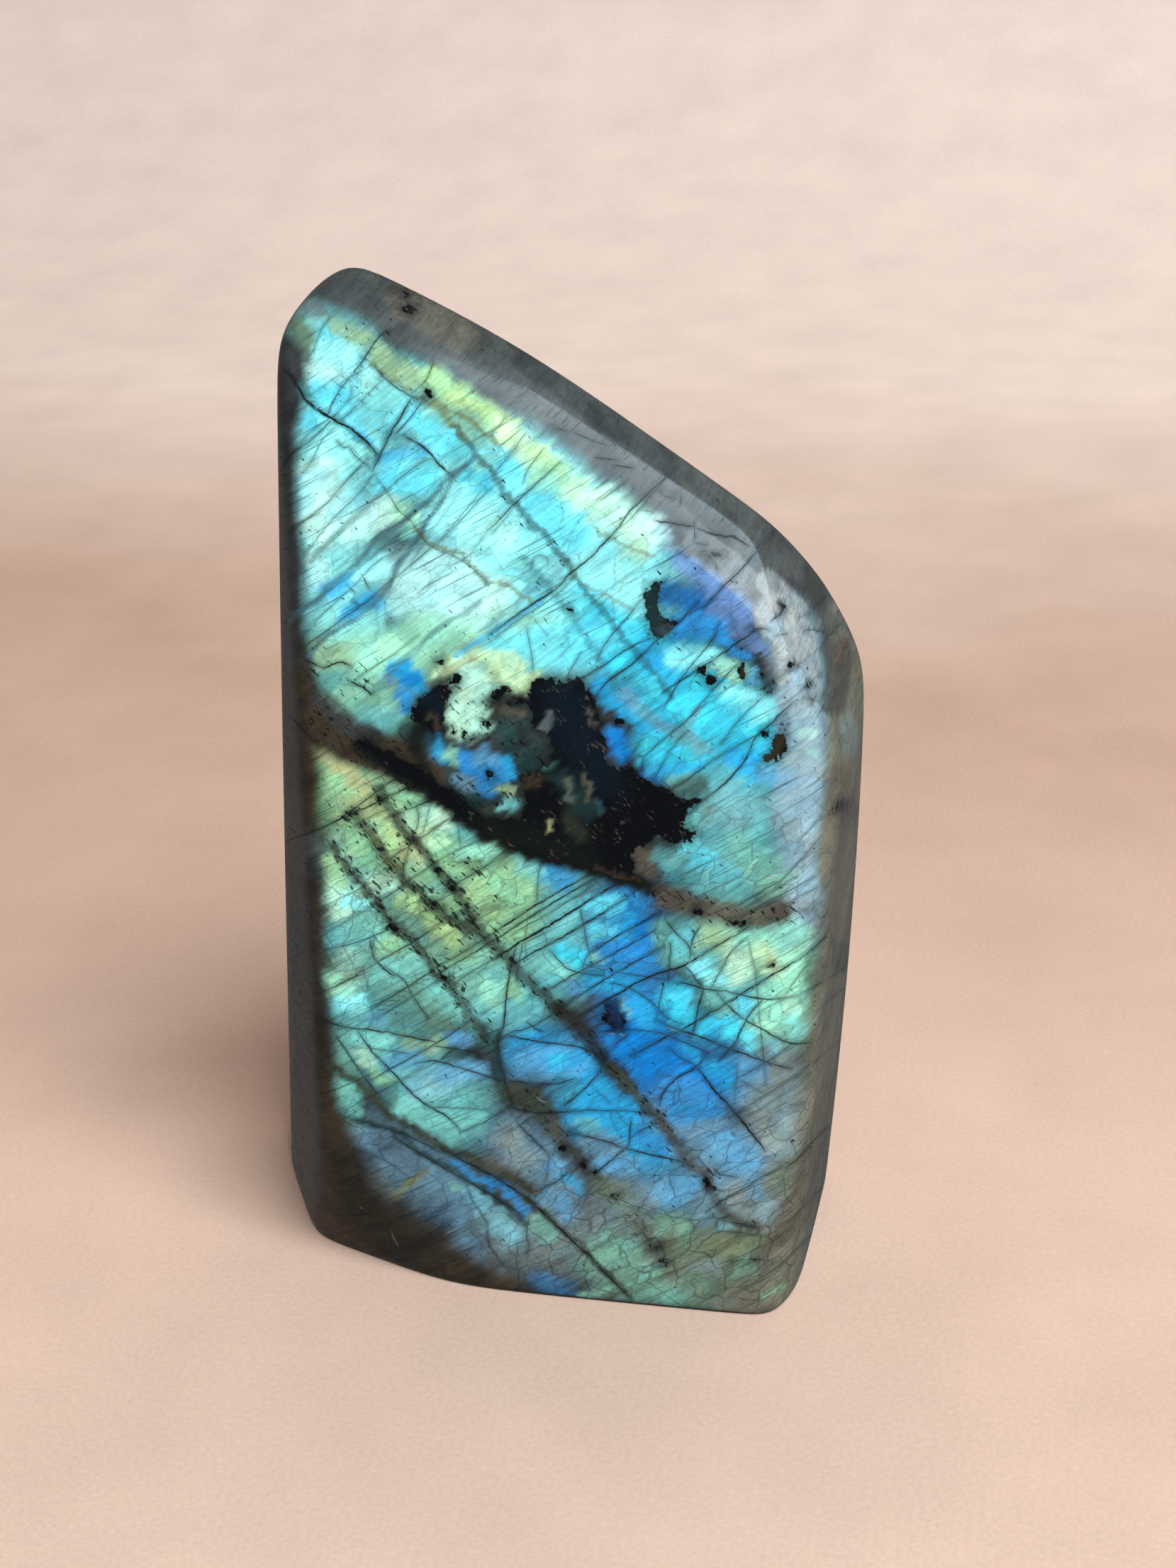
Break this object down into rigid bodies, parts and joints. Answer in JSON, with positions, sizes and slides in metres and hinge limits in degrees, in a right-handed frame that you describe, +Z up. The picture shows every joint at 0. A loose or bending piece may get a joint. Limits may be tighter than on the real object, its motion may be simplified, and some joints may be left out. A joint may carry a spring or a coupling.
{
  "type": "polished labradorite freeform",
  "caption": "Upright polished labradorite stone with a flat display face, a slanted top, soft ground edges, a domed back and a flat sawn base.",
  "frame": {"origin": "centre of the stone's bounding box, on the plane of its flat base", "axes": "+Z up the stone, +X to the right when looking at the display face, -Y out of the display face towards the viewer"},
  "size_m": [0.0732, 0.0392, 0.1187],
  "materials": {
    "labradorite": "high polish on every ground face; blue, cyan and yellow-green flash on the display face, smoky grey-green body, black inclusions; the sawn base is polished flat"
  },
  "bodies": {
    "root": {"labradorite_stone": "labradorite"}
  },
  "joints": []
}
